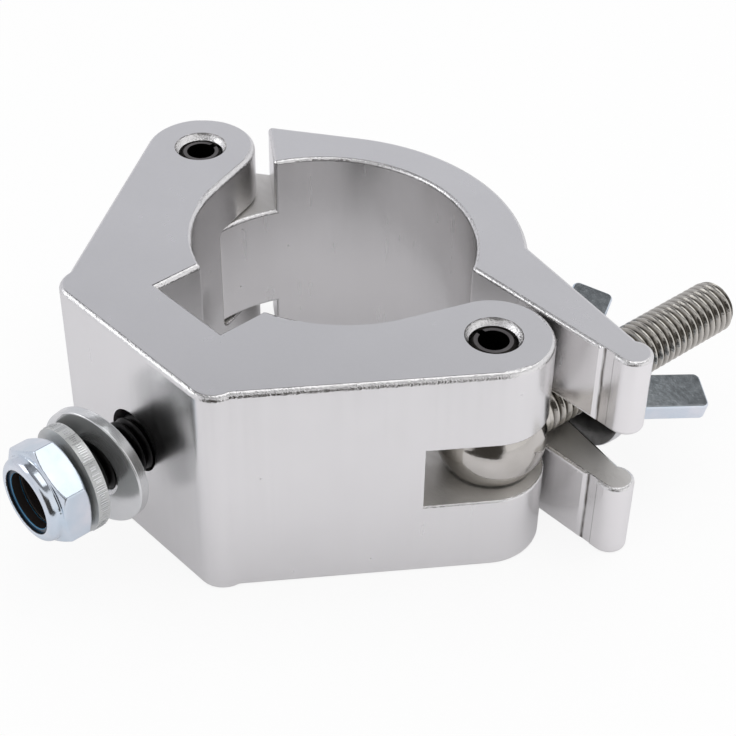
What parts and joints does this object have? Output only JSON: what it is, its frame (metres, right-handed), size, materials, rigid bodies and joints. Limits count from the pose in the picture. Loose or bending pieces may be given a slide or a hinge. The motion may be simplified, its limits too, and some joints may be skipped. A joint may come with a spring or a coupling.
{
  "type": "half coupler",
  "caption": "Extruded aluminium pipe clamp with a hinged jaw, closed by a swing bolt and wing nut, and a lock-nutted bolt through its flat nose for hanging a fitting.",
  "frame": {"origin": "centre of the clamped tube at mid-width of the body", "axes": "+Z along the tube, -Y out of the nose along the mounting bolt, +X from the hinge pin to the swing-bolt pin"},
  "size_m": [0.1052, 0.1227, 0.0416],
  "materials": {
    "satin_aluminium": "bright satin anodised",
    "pin_steel": "dark oiled spring steel",
    "nickel_steel": "nickel plated",
    "zinc_steel": "blue zinc plated",
    "black_steel": "black oxide",
    "nylon": "dark blue nylon"
  },
  "bodies": {
    "base": {"base_body": "satin_aluminium", "hinge_pin": "pin_steel", "swing_bolt_pin": "pin_steel", "mounting_bolt": "black_steel"},
    "jaw": {"jaw": "satin_aluminium"},
    "swing_bolt": {"swing_bolt": "nickel_steel"},
    "wing_nut_washer": {"wing_nut_washer": "zinc_steel"},
    "wing_nut": {"wing_nut": "zinc_steel"},
    "spring_washer": {"spring_washer": "zinc_steel"},
    "flat_washer": {"flat_washer": "zinc_steel"},
    "lock_nut": {"lock_nut": "zinc_steel", "lock_nut_insert": "nylon"}
  },
  "joints": [
    {"name": "swing_bolt_hinge", "type": "hinge", "parent": "base", "child": "swing_bolt", "pos_m": [0.0374, -0.0019, 0], "axis": [0, 0, -1], "range_deg": [0, 12]},
    {"name": "wing_nut_washer_travel", "type": "slide", "parent": "swing_bolt", "child": "wing_nut_washer", "axis": [0.0454, 0.999, 0], "range_m": [0, 0.016]},
    {"name": "wing_nut_turn", "type": "hinge", "parent": "wing_nut_washer", "child": "wing_nut", "pos_m": [0.0374, -0.0019, 0], "axis": [0.0454, 0.999, 0], "range_deg": [0, 3839]},
    {"name": "jaw_hinge", "type": "hinge", "parent": "base", "child": "jaw", "pos_m": [-0.0374, -0.0019, 0], "axis": [0, 0, 1], "range_deg": [0, 10.8]},
    {"name": "spring_washer_travel", "type": "slide", "parent": "base", "child": "spring_washer", "axis": [0, 1, 0], "range_m": [0, 0.0083]},
    {"name": "lock_nut_turn", "type": "hinge", "parent": "spring_washer", "child": "lock_nut", "pos_m": [0, -0.06, -0.00075], "axis": [0, 1, 0], "range_deg": [0, 1991]},
    {"name": "flat_washer_tip", "type": "hinge", "parent": "spring_washer", "child": "flat_washer", "pos_m": [-0.00905, -0.0567, 0], "axis": [0, 0, -1], "range_deg": [0, 12]}
  ],
  "couplings": [
    {"joint": "wing_nut_washer_travel", "follows": "wing_nut_turn", "m_per_rad": 0.00023873},
    {"joint": "jaw_hinge", "follows": "wing_nut_turn", "ratio": 0.0028},
    {"joint": "spring_washer_travel", "follows": "lock_nut_turn", "m_per_rad": 0.00023873},
    {"joint": "flat_washer_tip", "follows": "lock_nut_turn", "ratio": 0.006025}
  ]
}
